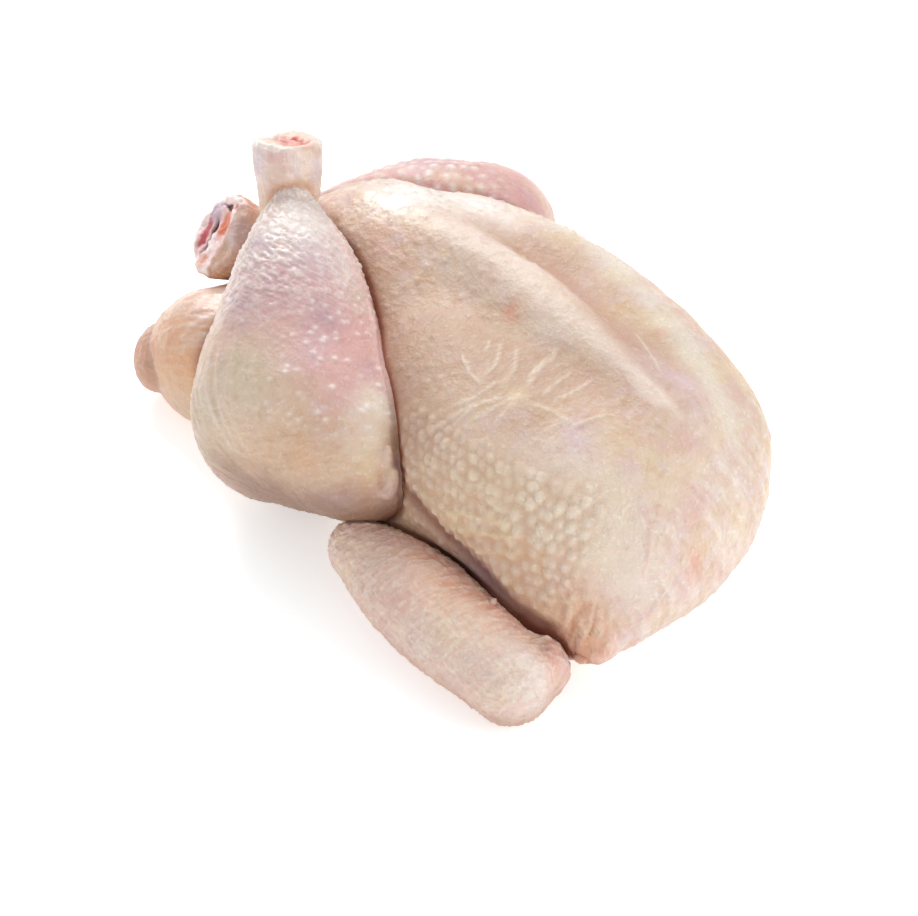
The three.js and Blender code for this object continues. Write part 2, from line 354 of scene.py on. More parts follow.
def pores(u, v, pitch, jitter):
    """The distance to the nearest of a staggered, uneven field of points, and its own random number."""
    height = pitch * math.sqrt(3) / 2
    row = np.floor(v / height).astype(int)
    nearest = np.full(len(u), FAR)
    pick = np.zeros(len(u))
    for down in (-1, 0, 1):
        r = row + down
        offset = 0.5 * (r % 2)
        column = np.floor(u / pitch - offset).astype(int)
        for across in (-1, 0, 1):
            c = column + across
            x = (c + 0.5 + offset + jitter * LATTICE[c % TABLE, r % TABLE, 0]) * pitch
            y = (r + 0.5 + jitter * LATTICE[c % TABLE, r % TABLE, 1]) * height
            d = np.hypot(u - x, v - y)
            closer = d < nearest
            nearest[closer] = d[closer]
            pick[closer] = LATTICE[c % TABLE, r % TABLE, 2][closer]
    return nearest, pick


def ramp(x, start, end):
    """0 up to start and 1 from end, smooth between."""
    t = np.clip((x - start) / (end - start), 0, 1)
    return t * t * (3 - 2 * t)


def beside(distance, breadth):
    """1 on a line, and fading to 0 about a breadth away from it."""
    return np.exp(-((distance / breadth) ** 2))


def patch(p, centre, radii):
    """A soft patch about a centre: 1 in its middle, and fading to 0 about its radii."""
    return np.exp(-PATCH_FALL * (((p - centre) / radii) ** 2).sum(1))


def off_line(p, points):
    """The distance from a line through the points given, and how far along it from 0 to 1."""
    points = np.array(points, float)
    best = np.full(len(p), FAR)
    place = np.zeros(len(p))
    for k, (a, b) in enumerate(zip(points[:-1], points[1:])):
        t = np.clip((p - a) @ (b - a) / ((b - a) @ (b - a)), 0, 1)
        d = np.linalg.norm(p - a - np.outer(t, b - a), axis=1)
        closer = d < best
        best[closer] = d[closer]
        place[closer] = (k + t[closer]) / (len(points) - 1)
    return best, place


def along_line(p, points, breadth, start=(-1, 0), end=(2, 1)):
    """A soft band beside a line, which begins and ends over the spans given, as shares of its length."""
    off, along = off_line(p, points)
    return beside(off, breadth) * ramp(along, *start) * ramp(along, *end)


TRUNK_BEND, TRUNK_STRETCH = 100, 90  # along the trunk: its half length and the length of its half arc
TRUNK_DROP, TRUNK_GIRTH = 10, 55  # round it: how low its middle lies, and its radius


def trunk_places(p):
    """Millimetres along the breast towards the neck, and round it from the near side over the top."""
    x, y, z = ((p - RIB_CAGE["centre"]) @ turned(BREAST_YAW)).T
    u = TRUNK_STRETCH * np.arcsin(np.clip(x / TRUNK_BEND, -1, 1))
    return u, TRUNK_GIRTH * np.arctan2(z + TRUNK_DROP, -y)


def limb_places(p, start, end, girth):
    """Millimetres along a limb from its start, and round it."""
    axis = unit(np.subtract(end, start))
    side = unit(np.cross(axis, (0, 0, 1)))
    top = np.cross(side, axis)
    q = p - start
    return q @ axis, girth * np.arctan2(q @ top, q @ side)


# ---- Colours, as they look on a screen ----


def paint(red, green, blue):
    """An sRGB colour as it looks on a screen, from 0 to 255, as the linear light that a shader takes."""
    shares = np.array([red, green, blue]) / 255
    return np.where(shares < 0.04045, shares / 12.92, ((shares + 0.055) / 1.055) ** 2.4)


BREAST = paint(216, 186, 162)
CREAM = paint(240, 226, 208)
KEEL_CREAM = paint(238, 220, 207)
WHITE = paint(250, 244, 238)
PALE = paint(232, 212, 196)
FAT = paint(232, 210, 168)
PALE_YELLOW = paint(232, 226, 214)
TAN = paint(214, 176, 140)
PIT_SHADE = paint(206, 158, 118)
OLIVE = paint(206, 190, 164)
ROSE = paint(220, 172, 168)
DUSTY_ROSE = paint(204, 152, 148)
SOFT_PINK = paint(228, 196, 186)
WET_PINK = paint(252, 218, 216)
LILAC = paint(216, 192, 204)
PURPLE = paint(188, 150, 160)
MAUVE = paint(190, 160, 152)
BROWN = paint(188, 142, 118)
CORAL = paint(220, 150, 122)
CRINKLE = paint(204, 138, 104)
AMBER = paint(224, 168, 128)
DULL_PINK = paint(208, 180, 176)
HOLLOW_SHADE_BROWN = paint(150, 108, 92)
HOLLOW_SHADE_GREY = paint(142, 122, 134)
HOLLOW_SHADE_LILAC = paint(146, 120, 138)
CUT_ORANGE = paint(228, 136, 106)
CUT_PINK = paint(232, 150, 136)
DEEP_PINK = paint(200, 88, 96)
MEAT = paint(200, 66, 56)
DARK_MEAT = paint(84, 16, 24)
WARM_SHADE = paint(196, 164, 140)
LEG_SHADE = paint(186, 150, 128)
THIGH_SHADE = paint(150, 112, 92)
FOLD_RED = paint(124, 62, 50)
EDGE_SHADE = paint(160, 112, 88)
CREASE_SHADE = paint(140, 82, 64)
DEEP_CREASE_SHADE = paint(110, 34, 18)

# The unevenness of all skins: each kind of noise, its size and its height in millimetres.
SWELLS = ((cloudy, 24, 0.7), (cloudy, 8, 0.3), (noise, 2.2, 0.14))
MOTTLE_EDGE = 0.4  # how soft the edges of mottles are
MOTTLES = (  # tint, size of its clouds in millimetres, strength
    (FAT, 13, 0.45),
    (ROSE, 10, 0.4),
    (LILAC, 8, 0.35),
    (TAN, 5, 0.4),
    (PALE, 3.5, 0.45),
)
DRIFT, DRIFT_SIZE = 1.1, 11  # how far rows of follicles wander, and in clouds of what size
FOLLICLE_JITTER = 0.24
FOLLICLE_MEAN, FOLLICLE_RANGE = 0.7, 0.3  # the heights of the bumps at feather roots, as shares
DOT_JITTER = 0.45
DOT_SHIFT = 3  # how far the rows of dots lie off the rows of follicles, in millimetres
DOT_PICKS = (-0.5, 0)  # the random numbers at which a dot begins to show, and shows in full
STRAND_TIPS = dict(start=(0, 0.15), end=(1, 0.75))  # where a strand swells and tapers


class Surface:
    """A skin's points, and the relief, colour and wetness that they get.

    u and v are places along and round the flesh. Each shift picks other noise.
    """

    def __init__(self, p, n, places, colour, shift):
        self.p, self.n, self.shift = p, n, shift
        self.u, self.v = places
        self.height = sum(
            height * kind(p, size, shift + k) for k, (kind, size, height) in enumerate(SWELLS)
        )
        self.colour = np.tile(colour, (len(p), 1))
        self.wet = np.zeros(len(p))
        for k, (tint, size, strength) in enumerate(MOTTLES, len(SWELLS)):
            self.tint(tint, strength * ramp(cloudy(p, size, shift + k), 0, MOTTLE_EDGE))

    def ridges(self, size, shift, skew=0):
        """Thin raised lines, of a size along the flesh and a size round it. A skew leans them over."""
        places = np.stack([self.u - skew * self.v, self.v, 0 * self.u], 1)
        return ridges(places, (*size, 1), self.shift + shift)

    def bumps(self, pitch, breadth, where):
        """Low round bumps at the feather roots, uneven in height."""
        u = self.u + DRIFT * noise(self.p, DRIFT_SIZE, self.shift + 20)
        v = self.v + DRIFT * noise(self.p, DRIFT_SIZE, self.shift + 21)
        d, pick = pores(u, v, pitch, FOLLICLE_JITTER)
        return beside(d, breadth) * (FOLLICLE_MEAN + FOLLICLE_RANGE * pick) * where

    def dots(self, pitch, breadth, where):
        """Small scattered bumps, with places left out."""
        d, pick = pores(self.u + DOT_SHIFT, self.v, pitch, DOT_JITTER)
        return beside(d, breadth) * ramp(pick, *DOT_PICKS) * where

    def strands(self, lines, breadth):
        """Thin lines, each through places given as u and v, that taper towards both ends."""
        flat = np.stack([self.u, self.v], 1)
        total = np.zeros(len(flat))
        for line in lines:
            total = np.maximum(total, along_line(flat, line, breadth, **STRAND_TIPS))
        return total

    def tint(self, tint, share):
        """Moves the colour towards a tint by each point's share of it."""
        self.colour = self.colour + np.clip(share, 0, 1)[:, None] * (tint - self.colour)

    def mark(self, relief, depth, tint=None, share=0):
        """Raises relief by a depth in millimetres, or sinks it, and gives it a share of a tint."""
        self.height = self.height + depth * relief
        if tint is not None:
            self.tint(tint, share * relief)

    def lay_blotches(self, blotches, ragged=2.6):
        """Lays soft blotches on, each with its tint, centre, radii and strength."""
        # The blotches are tones of the skin, painted highlights and painted shade.
        drift = np.stack([cloudy(self.p, 8, self.shift + 30 + 2 * k) for k in range(3)], 1)
        q = self.p + ragged * drift
        for tint, centre, radii, strength in blotches:
            self.tint(tint, strength * patch(q, centre, radii))


# ---- The breast ----

KEEL_LINE = (
    (-56, 19, 95), (-34, 13, 97), (-5, 6, 100), (12, -3, 100), (25, -8, 99), (48, -12, 96),
    (63, -17, 92), (79, -21, 88),
)
VALLEY_LINE = ((-24, 24, 91), (-9, 24, 91), (7, 19, 92), (32, 5, 95), (50, -4, 93))
LEG_SHADE_LINE = ((-64, -8, 83), (-31, -30, 80), (-12, -54, 76), (-4, -66, 66), (0, -70, 56))
UNDER_LEG_LINE = (
    (-99, 15, 79), (-82, 3, 85), (-72, -3, 84), (-57, -14, 79), (-44, -26, 75), (-30, -42, 74),
    (-16, -55, 72), (-9, -64, 63), (-6, -67, 56), (-6, -68, 46),
)
SHOULDER_LINE = ((56, -84, 27), (67, -82, 23), (77, -80, 14))
FAR_RIM_LINE = ((-10, 44, 82), (26, 33, 88), (50, 22, 86), (70, 12, 82), (88, -2, 76))
GAP_LINE = ((2, -72, 50), (14, -75, 46), (28, -78, 41), (40, -80, 36), (53, -82, 32), (66, -83, 29))
GAP_EDGE = ((0, -72, 58), (14, -75, 54), (30, -78, 49), (44, -80, 44), (58, -83, 40), (70, -83, 34))
STRANDS = (
    ((7, 72), (15, 63), (17, 55)), ((19, 80), (20, 69), (24, 59)), ((18, 80), (19, 68), (22, 61)),
    ((-1, 68), (3, 62)), ((25, 58), (23, 55), (19, 46), (15, 42)), ((21, 54), (16, 49), (12, 40)),
    ((15, 49), (10, 40), (5, 34)), ((15, 58), (13, 49), (6, 42)), ((2, 70), (9, 61), (10, 54)),
    ((28, 76), (28, 67), (30, 60)), ((36, 78), (34, 66), (34, 61)),
    ((29, 57), (36, 59), (48, 60)), ((46, 59), (48, 65), (51, 71)),
    ((24, 55), (25, 50), (24, 45)), ((-4, 58), (5, 54), (13, 53)), ((45, 88), (59, 87), (69, 85)),
    ((28, 106), (42, 100), (55, 93)),
)
SIDE_FOLDS = (
    ((21, 17), (35, 22), (50, 26)), ((26, 14), (41, 19), (53, 23)),
    ((33, 10), (45, 14), (55, 19)),
)
FRONT_FOLDS = (
    ((87, 52), (97, 46), (104, 37), (110, 24)), ((127, 25), (114, 2), (98, -6)),
)

# Tones of the breast, with painted light among them: the two WHITE blotches at the rear of the far side
# are a painted highlight, the three CREAM blotches in a row along the keel's near side are painted
# light, and the TAN, BROWN and dark brown blotches 45 to 52 mm up over the near wing are painted shade.
BREAST_BLOTCHES = (
    (TAN, (20, -77, 50), (40, 12, 20), 0.5), (PALE, (60, -64, 74), (34, 20, 22), 0.7),
    (CREAM, (64, -64, 74), (26, 18, 20), 0.95), (CREAM, (86, -64, 56), (20, 18, 20), 0.6),
    (PALE, (30, -68, 74), (36, 12, 12), 0.75), (PALE, (-20, -5, 90), (12, 10, 8), 0.5),
    (FAT, (36, -70, 70), (24, 10, 12), 0.4), (WARM_SHADE, (-20, -28, 84), (12, 14, 10), 0.6),
    (WARM_SHADE, (-18, 23, 91), (18, 10, 8), 0.4), (WARM_SHADE, (58, -14, 92), (16, 12, 10), 0.5),
    (AMBER, (44, -79, 52), (26, 5, 8), 0.5), (WARM_SHADE, (2, -24, 90), (30, 26, 14), 0.95),
    (WARM_SHADE, (30, -32, 91), (26, 18, 12), 0.65), (WARM_SHADE, (-4, 24, 92), (34, 14, 10), 0.8),
    (WARM_SHADE, (50, 0, 92), (32, 20, 12), 0.75), (WARM_SHADE, (-22, 8, 97), (18, 10, 8), 0.6),
    (WARM_SHADE, (-2, -36, 88), (24, 16, 12), 0.5), (WARM_SHADE, (26, -40, 91), (26, 16, 12), 0.4),
    (WARM_SHADE, (-28, 24, 92), (16, 12, 10), 0.5), (WARM_SHADE, (-8, 6, 99), (16, 7, 8), 0.45),
    (WARM_SHADE, (56, 6, 89), (22, 14, 10), 0.5), (WARM_SHADE, (40, -7, 98), (16, 7, 8), 0.45),
    (WARM_SHADE, (-14, -50, 81), (10, 8, 8), 0.5), (BROWN, (34, -79, 52), (20, 6, 6), 0.45),
    (CREAM, (-30, 0, 91), (14, 7, 8), 0.4), (CREAM, (-6, -6, 95), (16, 6, 8), 0.4),
    (CREAM, (14, -13, 94), (14, 6, 8), 0.4), (WHITE, (-64, 25, 92), (20, 16, 14), 0.85),
    (WHITE, (-46, 42, 86), (30, 12, 12), 0.9), (DULL_PINK, (60, -6, 92), (18, 13, 10), 0.7),
    (DULL_PINK, (77, -12, 88), (14, 12, 10), 0.7), (LILAC, (72, -4, 89), (8, 7, 6), 0.5),
    (HOLLOW_SHADE_BROWN, (30, -78, 46), (26, 5, 8), 0.4), (LILAC, (56, -48, 86), (11, 9, 8), 0.5),
    (PALE, (56, -61, 82), (10, 8, 9), 0.5), (BROWN, (39, -51, 88), 6, 0.55),
    (FAT, (50, 20, 88), (8, 6, 8), 0.6), (FAT, (68, 12, 84), (9, 6, 8), 0.6),
    (FAT, (26, 31, 91), (8, 6, 8), 0.5), (FAT, (27, -45, 90), (5, 4, 5), 0.7),
    (CORAL, (5, -11, 94), (5, 5, 6), 0.75), (CORAL, (53, 16, 87), (3, 3, 4), 0.5),
    (CREAM, (92, -20, 66), (22, 34, 34), 0.35), (ROSE, (85, -26, 83), 7, 0.55),
    (ROSE, (97, -37, 68), (9, 8, 14), 0.45), (CORAL, (103, -48, 50), (5, 6, 9), 0.75),
    (AMBER, (78, -78, 30), (12, 7, 20), 0.7), (CORAL, (76, -79, 18), (12, 6, 8), 0.7),
    (MEAT, (84, -76, 11), (9, 8, 5), 0.5), (CORAL, (78, -78, 18), (9, 6, 9), 0.75),
    (CRINKLE, (72, -80, 26), (8, 5, 12), 0.5), (CRINKLE, (58, -82, 36), (12, 5, 8), 0.4),
    (BROWN, (70, -82, 26), (8, 6, 8), 0.5), (FAT, (24, -76, 54), (10, 6, 6), 0.5),
    (ROSE, (38, -79, 52), (6, 4, 5), 0.4), (LILAC, (88, -66, 46), (9, 9, 14), 0.4),
    (HOLLOW_SHADE_BROWN, (4, -72, 50), (12, 10, 6), 0.7), (HOLLOW_SHADE_BROWN, (14, -74, 45), (18, 8, 6), 0.6),
)
BREAST_SHINE = ((0.65, (-64, 22, 92), (30, 24, 16)), (0.5, (-48, 42, 86), (24, 14, 12)))
DAMP = 0.1  # the wetness where the breast doesn't shine


def keel_relief(s):
    """The keel's pale line, and the valley beside it, darkened with painted shade."""
    keel, along = off_line(s.p, KEEL_LINE)
    keel = keel + 2 * noise(s.p, 7, shift=90)
    pale = beside(keel, 8.5 - 6 * ramp(along, 0.45, 1)) * ramp(along, 0, 0.12)
    s.mark(pale, 0.4, KEEL_CREAM, 0.8)
    valley = along_line(s.p, VALLEY_LINE, breadth=6, start=(0, 0.2))
    s.mark(valley, -1.3, BROWN, 0.5)


def follicle_relief(s, behind_front):
    """Close bumps low on the near side, larger towards the neck, and scattered dots elsewhere."""
    x, _, z = s.p.T
    low_side = ramp(-s.n[:, 1], 0.2, 0.6) * ramp(z, 86, 75) * ramp(z, 30, 42)
    bumpy = low_side * ramp(x, -12, -4) * ramp(x, 84, 64) * behind_front
    s.tint(TAN, 0.25 * bumpy)
    fine = s.bumps(pitch=3.8, breadth=1.55, where=bumpy * ramp(x, 50, 32))
    coarse = s.bumps(pitch=5, breadth=2.05, where=bumpy * ramp(x, 32, 50))
    s.mark(fine, 2, CREAM, 0.4)
    s.mark(coarse, 2.2, CREAM, 0.5)
    # Painted shade in the pits between the bumps.
    s.tint(PIT_SHADE, 0.45 * np.clip(bumpy * (1 - 2.2 * (fine + coarse)), 0, 1))
    smooth = (1 - bumpy) * behind_front
    close = s.dots(pitch=5, breadth=0.8, where=smooth * ramp(x, 24, -10))
    s.mark(close, 0.75, PALE, 0.6)
    wide = s.dots(pitch=9, breadth=0.7, where=smooth * ramp(x, -20, 30))
    s.mark(wide, 0.3, PALE, 0.5)


def stretched_relief(s, front):
    """Pale streaks, long folds and fine ridges in the skin that is drawn over the breast."""
    x, y, z = s.p.T
    s.mark(s.strands(STRANDS, breadth=0.5), 0.4, CREAM, 0.6)
    s.mark(s.strands(SIDE_FOLDS, breadth=1.2), 1, FAT, 0.4)
    s.mark(s.strands(FRONT_FOLDS, breadth=0.8), 0.5, ROSE, 0.5)
    hatched = s.ridges((1.8, 10), shift=40, skew=0.4) * patch(s.p, (46, -46, 87), (26, 15, 12))
    s.mark(hatched, 0.45, PALE, 0.4)
    down_front = np.stack([y + 0.25 * z, z, 0 * z], 1)
    s.mark(ridges(down_front, (3, 24, 1), shift=95) * front, 0.6, WHITE, 0.35)
    s.mark(ridges(down_front, (1.7, 9, 1), shift=97) * front, 0.3, ROSE, 0.2)
    belly = s.ridges((14, 2), shift=44) * patch(s.p, (-44, 40, 84), (26, 14, 10))
    s.mark(belly, 0.4, PALE, 0.5)
    s.mark(s.ridges((20, 3), shift=46) * ramp(x, -30, -60), 0.3)


def shoulder_relief(s):
    """The crinkled corner of skin over the shoulder, and the wrinkles low on the side."""
    x, _, z = s.p.T
    crinkled = patch(s.p, (77, -78, 26), (13, 9, 22))
    s.mark(s.ridges((2.2, 14), shift=48) * crinkled, 1.2, CREAM, 0.5)
    flat = np.stack([s.u, s.v, 0 * s.u], 1)
    folds = ramp(cloudy(flat, (2.4, 10, 1), shift=98), -0.2, 0.35)
    s.mark(folds * crinkled, -1, CRINKLE, 0.8)
    low = ramp(z, 30, 12) * ramp(x, -10, 30)
    s.mark(s.ridges((3.4, 10), shift=50) * low, 0.5)
    s.mark(patch(s.p, (103, -48, 50), (4, 5, 8)), -0.9)


def leg_edge(s):
    """Painted shade beside the near leg and in the deep crease where it lies on the breast. Returns the
    crease.
    """
    beside_leg, along = off_line(s.p, LEG_SHADE_LINE)
    middle = ramp(along, 0, 0.3) * ramp(along, 1, 0.7)
    s.tint(LEG_SHADE, (0.3 + 0.4 * middle) * beside(beside_leg, 15))
    under_leg, along = off_line(s.p, UNDER_LEG_LINE)
    shade = beside(under_leg, 9 - 4.5 * ramp(along, 0.55, 0.8))
    s.tint(EDGE_SHADE, 0.6 * shade * ramp(along, 0.12, 0.3))
    crease = beside(under_leg, 2.2 + 1.4 * ramp(along, 0.55, 0.9))
    crease = crease * (0.5 + 0.5 * ramp(along, 0.15, 0.35))
    s.mark(crease, -0.8, DEEP_CREASE_SHADE, 0.95)
    return crease


def wing_gap(s):
    """The rim over the near wing, and the painted shade in the shoulder fold and the hollow. Returns the
    hollow.
    """
    height = s.p[:, 2]
    # A sunk fold at the shoulder, tinted dark red: the skin's red with painted shade in the fold.
    s.mark(along_line(s.p, SHOULDER_LINE, breadth=5), -1.2, FOLD_RED, 0.95)
    rim, _ = off_line(s.p, GAP_EDGE)
    s.mark(beside(rim, 2.2), 0.7)
    hollow = along_line(s.p, GAP_LINE, breadth=3.6)
    s.mark(hollow * ramp(height, 60, 52), -1.5, HOLLOW_SHADE_BROWN, 0.95)
    below_rim = ramp(height, 60, 40) * ramp(rim, 1, 5)
    # The lilac-grey skin low in the hollow, deepened with painted shade.
    s.tint(HOLLOW_SHADE_LILAC, 0.9 * below_rim * patch(s.p, (34, -77, 29), (26, 10, 12)))
    return hollow


def breast_finish(p, n):
    s = Surface(p, n, trunk_places(p), BREAST, shift=1)
    s.lay_blotches(BREAST_BLOTCHES)
    front = ramp(n[:, 0], 0.5, 0.85)
    keel_relief(s)
    follicle_relief(s, 1 - front)
    stretched_relief(s, front)
    shoulder_relief(s)
    crease = leg_edge(s)
    far_rim, _ = off_line(p, FAR_RIM_LINE)
    s.tint(PALE_YELLOW, 0.6 * beside(far_rim + 3 * noise(p, 8, shift=93), 7))
    hollow = wing_gap(s)
    shine = sum(strength * patch(p, centre, radii) for strength, centre, radii in BREAST_SHINE)
    s.wet = (shine + DAMP) * (1 - crease) * (1 - 0.8 * hollow)
    return s


# ---- The legs and their cut knuckles ----

NEAR_RIM_LINE = ((-14.5, -60, 69.5), (-10.2, -64.2, 64.4), (-7.2, -68, 58.3), (-6.5, -69, 50))
KNEE_CREASE_LINE = (
    (-10.2, -73.2, 60.9), (-9.2, -74.7, 57.8), (-8.5, -75.9, 54.2), (-7.7, -76, 50.7),
    (-6.6, -75.2, 46.6),
)
LEG_EDGE_LINE = (
    (-72, -11, 96), (-64, -15, 93), (-58.5, -17, 88.5), (-54, -19, 84), (-50, -21, 81),
    (-38, -33, 78), (-31, -41, 77), (-21, -51, 74),
)
# Tones of the near leg; the WHITE blotches on top of the drumstick are a painted highlight, and the
# BROWN and CRINKLE blotches by the knee are painted shade.
NEAR_LEG_BLOTCHES = (
    (TAN, (-50, -84, 52), (60, 20, 30), 0.5), (ROSE, (-62, -38, 90), (44, 32, 24), 0.95),
    (DUSTY_ROSE, (-72, -44, 92), (22, 20, 18), 0.6), (ROSE, (-42, -44, 82), (24, 26, 24), 0.9),
    (ROSE, (-34, -62, 78), (14, 12, 16), 0.6), (PURPLE, (-83, -55, 88), (12, 12, 10), 0.8),
    (PURPLE, (-53, -47, 90), (9, 10, 13), 0.8), (PURPLE, (-30, -50, 78), (5, 7, 8), 0.5),
    (LILAC, (-49, -60, 85), (8, 8, 9), 0.5), (ROSE, (-50, -64, 84), (12, 10, 9), 0.3),
    (MAUVE, (-88, -38, 94), (12, 12, 10), 0.4), (BROWN, (-16, -82, 50), (16, 10, 9), 0.6),
    (WHITE, (-76, -28, 102), (11, 8, 9), 0.45), (LILAC, (-88, -32, 98), (9, 11, 10), 0.7),
    (PURPLE, (-76, -46, 95), (18, 16, 14), 0.5), (WHITE, (-80, -20, 102), (15, 12, 11), 0.8),
    (WHITE, (-60, -20, 94), (13, 9, 14), 0.6), (PALE, (-50, -24, 86), (10, 8, 10), 0.5),
    (CREAM, (-18, -73, 69), (7, 7, 9), 0.5), (LILAC, (-70, -30, 98), (10, 9, 9), 0.5),
    (CREAM, (-62, -80, 73), (20, 12, 14), 0.35), (OLIVE, (-66, -73, 78), (15, 12, 12), 0.8),
    (OLIVE, (-81, -82, 60), (13, 12, 24), 0.7), (CREAM, (-20, -62, 74), (7, 8, 14), 0.95),
    (TAN, (-40, -86, 56), (26, 12, 22), 0.5), (AMBER, (-35, -85, 61), (6, 6, 7), 0.4),
    (AMBER, (-58, -88, 42), 8, 0.35), (PURPLE, (-22, -85, 44), (11, 9, 9), 0.6),
    (BROWN, (-12, -78, 44), (8, 9, 9), 0.5), (CRINKLE, (-11, -78.5, 52), (5, 4, 6), 0.3),
    (SOFT_PINK, (-6.5, -76.5, 50), (4, 3, 4), 0.7), (FAT, (-14, -74, 60), (7, 9, 9), 0.5),
)
FAR_LEG_BLOTCHES = (
    (DUSTY_ROSE, (-50, 66, 76), (50, 20, 14), 0.6), (PURPLE, (-78, 56, 76), (16, 12, 10), 0.4),
    (PALE, (-50, 78, 48), (44, 14, 22), 0.5), (OLIVE, (-84, 60, 30), (24, 30, 22), 0.5),
)


def near_leg_texture(s):
    """Dots on the thigh, fine ridges with painted highlight towards the hock, and long wrinkles behind
    the knee.
    """
    x, _, z = s.p.T
    shank = ramp(s.u, 58, 20)
    outer = ramp(x, -74, -46)
    close = s.dots(pitch=4.4, breadth=0.8, where=ramp(z, 62, 78) * outer * ramp(s.u, 14, 26))
    s.mark(close, 0.6, WHITE, 0.7)
    s.mark(s.dots(pitch=7, breadth=0.7, where=1 - outer), 0.3, PALE, 0.4)
    s.tint(LILAC, 0.2 * shank)
    fine = s.ridges((1.8, 6), shift=40, skew=0.5) * shank
    s.mark(fine, 0.7, WHITE, 0.85)
    # Painted light along the leg's rim, where it lies over the breast.
    s.tint(WET_PINK, 0.65 * along_line(s.p, LEG_EDGE_LINE, breadth=3.5))
    slanting = s.ridges((3.2, 7), shift=42, skew=-0.4) * ramp(s.u, 70, 40)
    s.mark(slanting, 0.3, PALE, 0.3)
    back = ramp(x, -46, -76) * ramp(z, 92, 70)
    s.mark(s.ridges((30, 2.8), shift=44, skew=0.9) * back, 0.4, PALE, 0.5)
    s.mark(s.ridges((2, 6), shift=46) * ramp(z, 78, 60), 0.3, PALE, 0.25)
    # Painted shade low on the thigh.
    lower = ramp(z + 4 * cloudy(s.p, 9, shift=148), 58, 34) * ramp(x, -96, -56)
    s.tint(THIGH_SHADE, 0.95 * lower)


def knee_relief(s):
    """The leg's rim on the breast, and the small nub of skin at the knee. Returns the rim's crease."""
    # The rim and the fold by the knee are sunk and darkened with painted shade.
    rim = along_line(s.p, NEAR_RIM_LINE, breadth=3, start=(0, 0.4), end=(0.9, 0.6))
    s.mark(rim, -1, CREASE_SHADE, 0.4)
    crease = along_line(s.p, NEAR_RIM_LINE, breadth=1.6, start=(0, 0.3))
    s.mark(crease, -0.4, DEEP_CREASE_SHADE, 0.9)
    fold = along_line(s.p, KNEE_CREASE_LINE, breadth=1.3, start=(0, 0.4), end=(1, 0.6))
    s.mark(fold, -0.9, CRINKLE, 0.4)
    nub = patch(s.p, (-5.8, -74.2, 51.5), (2.6, 2.6, 3.2))
    s.mark(nub, 0.8, SOFT_PINK, 0.6)
    return crease


def near_leg_finish(p, n):
    places = limb_places(p, NEAR_DRUMSTICK["end"], NEAR_DRUMSTICK["start"], girth=26)
    s = Surface(p, n, places, BREAST, shift=100)
    s.lay_blotches(NEAR_LEG_BLOTCHES)
    near_leg_texture(s)
    crease = knee_relief(s)
    beads = ramp(cloudy(p, (2.6, 2.6, 2), shift=149), -0.3, 0.3)
    s.wet = (0.85 * ramp(s.u, 66, 24) * beads + 0.12) * (1 - crease)
    return s


def far_leg_finish(p, n):
    places = limb_places(p, FAR_DRUMSTICK["end"], FAR_DRUMSTICK["start"], girth=24)
    s = Surface(p, n, places, ROSE, shift=150)
    s.lay_blotches(FAR_LEG_BLOTCHES)
    height = p[:, 2]
    s.tint(BREAST, 0.6 * ramp(height + 12 * cloudy(p, 9, shift=160), 72, 34))
    shown = ramp(height, 50, 68)
    fleshy = ramp(s.u, 10, 26) * ramp(s.u, 104, 84) * ramp(height, 30, 52)
    bumps = s.bumps(pitch=5.2, breadth=1.5, where=fleshy)
    s.mark(s.dots(pitch=6.5, breadth=0.8, where=1 - shown), 0.4, PALE, 0.6)
    s.mark(bumps * (0.4 + 0.6 * shown), 0.95)
    s.tint(WHITE, bumps * (0.3 + 0.6 * shown))
    s.mark(s.ridges((2.4, 9), shift=40) * ramp(s.u, 42, 14), 0.4)
    s.wet += 0.25
    return s


# On the far cut, the two WHITE spots are pale bits with a painted highlight on them.
FAR_CUT = (  # tint, place across and down the cut, radii, strength, depth
    (WET_PINK, (0, 0), (22, 16), 1, 0),
    (LILAC, (7.5, 6.8), (6, 4.6), 1, 0.8),
    (PURPLE, (3.5, 7.8), (4.6, 2.4), 0.8, 0.2),
    (WHITE, (13, -3.6), (4.6, 3.6), 0.9, 0.4),
    (CORAL, (15, -7), (4.6, 3), 0.9, 0),
    (MEAT, (13.6, -2.6), (2.6, 2.4), 1, -1.2),
    (DARK_MEAT, (11, 1.2), (1.2, 3.2), 1, -0.9),
    (CUT_ORANGE, (5, -1.4), (6.4, 3.2), 1, -0.3),
    (DEEP_PINK, (-3, 7.4), (8, 2), 1, -0.6),
    (DARK_MEAT, (0.5, 3.8), (5, 1.5), 1, -1.2),
    (WHITE, (-6.5, 1), (6, 2), 0.8, 0.3),
    (DARK_MEAT, (-7, 4), (4, 0.9), 0.7, -0.5),
    (CORAL, (-13, 1), (5, 2.6), 0.8, 0),
)
NEAR_CUT = (
    (PALE, (0, 0), (18, 16), 1, 0),
    (CUT_PINK, (3, -1), (9, 7), 0.9, -1),
    (MEAT, (3, 2.6), (6, 1.6), 0.9, -0.5),
    (WHITE, (-8.5, -1), (4, 7), 0.95, 0.9),
    (FOLD_RED, (-1, -2), (2.6, 1.4), 0.8, -0.6),
    (CORAL, (9.5, -2), (3.6, 6), 0.9, 0.6),
)
NEAR_HOCK_BLOTCHES = (
    (ROSE, (-101, -7, 115), (6, 5, 3), 0.8), (LILAC, (-109, -6, 110), (5, 8, 9), 0.7),
    (LILAC, (-88, 5, 108), (4, 8, 9), 0.8), (SOFT_PINK, (-98, -10, 106), (7, 6, 8), 0.6),
    (AMBER, (-98, -10, 103), (7, 6, 8), 0.2), (AMBER, (-104, -10, 97), (5, 5, 8), 0.3),
)
